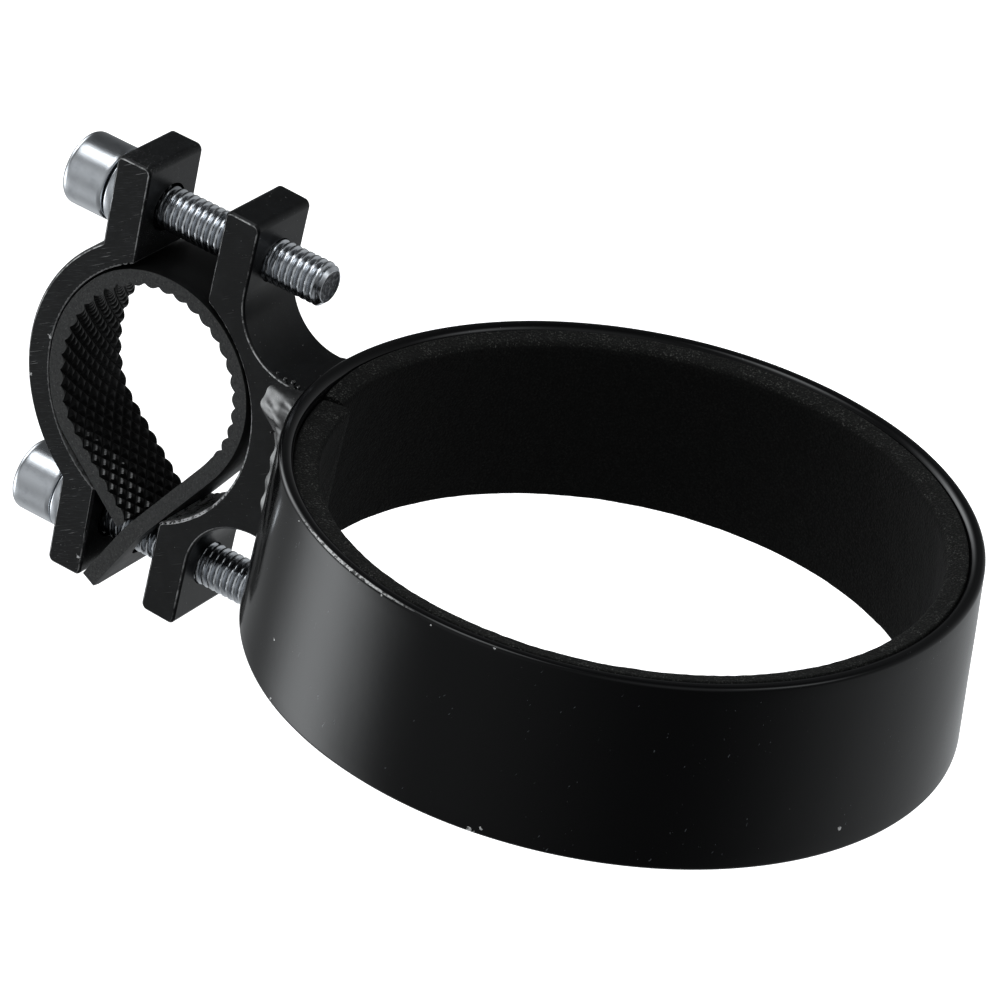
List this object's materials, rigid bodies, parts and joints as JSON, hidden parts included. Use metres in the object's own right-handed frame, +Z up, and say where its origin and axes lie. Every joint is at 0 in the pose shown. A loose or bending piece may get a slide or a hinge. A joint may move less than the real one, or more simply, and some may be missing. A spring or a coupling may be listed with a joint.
{
  "type": "clamp-on cup holder",
  "caption": "Foam-lined metal cup ring welded to a two-bolt tube clamp with a knurled rubber grip strip.",
  "frame": {"origin": "axis of the bar that the clamp grips, halfway along the clamp's width", "axes": "+Y along the bar, +X from the bar to the cup ring, +Z up; the cup ring leans back 3.7 degrees about Y"},
  "size_m": [0.1339, 0.0912, 0.0612],
  "materials": {
    "black_coated_ring": "satin black coating",
    "black_coated_clamp": "matt black coating, worn edges",
    "black_coated_weld": "glossy black coating",
    "foam": "closed-cell foam, matt",
    "rubber": "knurled, matt",
    "adhesive": "thin adhesive film",
    "zinc_plated_steel": "bright zinc plating"
  },
  "bodies": {
    "holder": {"holder_ring": "black_coated_ring", "foam_liner": "foam", "liner_adhesive": "adhesive", "clamp_block": "black_coated_clamp", "weld_bead_front": "black_coated_weld", "weld_bead_back": "black_coated_weld", "grip_strip": "rubber"},
    "cap": {"clamp_cap": "black_coated_clamp", "upper_washer": "zinc_plated_steel", "lower_washer": "zinc_plated_steel"},
    "upper_bolt": {"upper_bolt": "zinc_plated_steel"},
    "lower_bolt": {"lower_bolt": "zinc_plated_steel"}
  },
  "joints": [
    {"name": "cap_slide", "type": "slide", "parent": "holder", "child": "cap", "axis": [0.9996, 0, 0.0297], "range_m": [-0.008, 0.004], "deforming": ["grip_strip"]},
    {"name": "upper_bolt_turn", "type": "hinge", "parent": "cap", "child": "upper_bolt", "pos_m": [-0.01333, 0, 0.02032], "axis": [0.9996, 0, 0.0297], "range_deg": [-2881, 1441]},
    {"name": "lower_bolt_turn", "type": "hinge", "parent": "cap", "child": "lower_bolt", "pos_m": [-0.01171, 0, -0.02585], "axis": [0.9996, 0, 0.0297], "range_deg": [-2881, 1441]}
  ],
  "couplings": [
    {"joint": "upper_bolt_turn", "follows": "cap_slide", "rad_per_m": 6283.2},
    {"joint": "lower_bolt_turn", "follows": "cap_slide", "rad_per_m": 6283.2}
  ]
}
